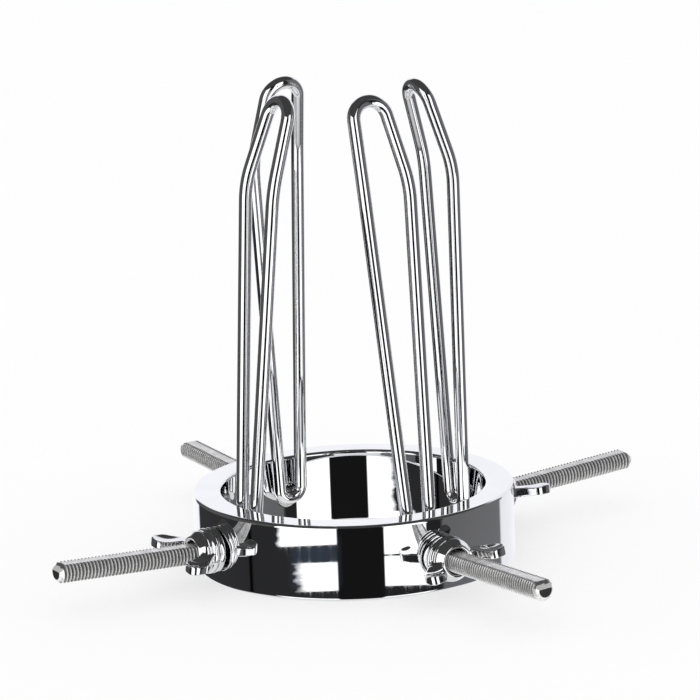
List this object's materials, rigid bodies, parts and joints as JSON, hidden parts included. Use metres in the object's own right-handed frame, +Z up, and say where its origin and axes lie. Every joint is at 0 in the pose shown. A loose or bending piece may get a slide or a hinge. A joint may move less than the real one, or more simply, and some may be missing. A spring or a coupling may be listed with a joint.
{
  "type": "adjustable ring spreader",
  "caption": "Thick chromed ring with radial threaded studs that carry tall closed wire loops, moved in and out by wing nuts.",
  "frame": {"origin": "on the ring's axis, at the level of its flat underside", "axes": "+Z up along the ring's axis; the studs point along -X (front left), -Y (front right), +X (back right) and +Y (back left)"},
  "size_m": [0.1792, 0.1792, 0.1276],
  "materials": {
    "ring_chrome": "mirror polished chrome plate",
    "wire_chrome": "mirror polished chrome plate on steel wire",
    "nut_chrome": "bright plated casting",
    "washer_chrome": "bright plate",
    "stud_steel": "machined thread, satin",
    "weld_steel": "lumpy weld, plated"
  },
  "bodies": {
    "ring": {"ring": "ring_chrome"},
    "arm_front_left": {"stud_front_left": "stud_steel", "loop_front_left": "wire_chrome", "weld_front_left": "weld_steel"},
    "washer_front_left": {"washer_front_left": "washer_chrome"},
    "nut_front_left": {"wing_nut_front_left": "nut_chrome"},
    "arm_front_right": {"stud_front_right": "stud_steel", "loop_front_right": "wire_chrome", "weld_front_right": "weld_steel"},
    "washer_front_right": {"washer_front_right": "washer_chrome"},
    "nut_front_right": {"wing_nut_front_right": "nut_chrome"},
    "arm_back_right": {"stud_back_right": "stud_steel", "loop_back_right": "wire_chrome", "weld_back_right": "weld_steel"},
    "washer_back_right": {"washer_back_right": "washer_chrome"},
    "nut_back_right": {"wing_nut_back_right": "nut_chrome"},
    "arm_back_left": {"stud_back_left": "stud_steel", "loop_back_left": "wire_chrome", "weld_back_left": "weld_steel"},
    "washer_back_left": {"washer_back_left": "washer_chrome"},
    "nut_back_left": {"wing_nut_back_left": "nut_chrome"}
  },
  "joints": [
    {"name": "nut_turn_front_left", "type": "hinge", "parent": "ring", "child": "nut_front_left", "pos_m": [-0.03875, 0, 0.0093], "axis": [-0.9986, 0, 0.0523], "range_deg": [0, 2880]},
    {"name": "arm_slide_front_left", "type": "slide", "parent": "ring", "child": "arm_front_left", "axis": [-0.9986, 0, 0.0523], "range_m": [-0.008, 0]},
    {"name": "washer_turn_front_left", "type": "hinge", "parent": "ring", "child": "washer_front_left", "pos_m": [-0.03875, 0, 0.0093], "axis": [-0.9986, 0, 0.0523], "continuous": true},
    {"name": "nut_turn_front_right", "type": "hinge", "parent": "ring", "child": "nut_front_right", "pos_m": [0, -0.03875, 0.0093], "axis": [0, -0.9991, 0.0419], "range_deg": [0, 2880]},
    {"name": "arm_slide_front_right", "type": "slide", "parent": "ring", "child": "arm_front_right", "axis": [0, -0.9991, 0.0419], "range_m": [-0.008, 0]},
    {"name": "washer_turn_front_right", "type": "hinge", "parent": "ring", "child": "washer_front_right", "pos_m": [0, -0.03875, 0.0093], "axis": [0, -0.9991, 0.0419], "continuous": true},
    {"name": "nut_turn_back_right", "type": "hinge", "parent": "ring", "child": "nut_back_right", "pos_m": [0.03875, 0, 0.0093], "axis": [0.9983, 0, 0.0576], "range_deg": [0, 2880]},
    {"name": "arm_slide_back_right", "type": "slide", "parent": "ring", "child": "arm_back_right", "axis": [0.9983, 0, 0.0576], "range_m": [-0.008, 0]},
    {"name": "washer_turn_back_right", "type": "hinge", "parent": "ring", "child": "washer_back_right", "pos_m": [0.03875, 0, 0.0093], "axis": [0.9983, 0, 0.0576], "continuous": true},
    {"name": "nut_turn_back_left", "type": "hinge", "parent": "ring", "child": "nut_back_left", "pos_m": [0, 0.03875, 0.0093], "axis": [0, 0.9986, 0.0523], "range_deg": [0, 2880]},
    {"name": "arm_slide_back_left", "type": "slide", "parent": "ring", "child": "arm_back_left", "axis": [0, 0.9986, 0.0523], "range_m": [-0.008, 0]},
    {"name": "washer_turn_back_left", "type": "hinge", "parent": "ring", "child": "washer_back_left", "pos_m": [0, 0.03875, 0.0093], "axis": [0, 0.9986, 0.0523], "continuous": true}
  ],
  "couplings": [
    {"joint": "arm_slide_front_left", "follows": "nut_turn_front_left", "m_per_rad": -0.00015915},
    {"joint": "arm_slide_front_right", "follows": "nut_turn_front_right", "m_per_rad": -0.00015915},
    {"joint": "arm_slide_back_right", "follows": "nut_turn_back_right", "m_per_rad": -0.00015915},
    {"joint": "arm_slide_back_left", "follows": "nut_turn_back_left", "m_per_rad": -0.00015915}
  ]
}
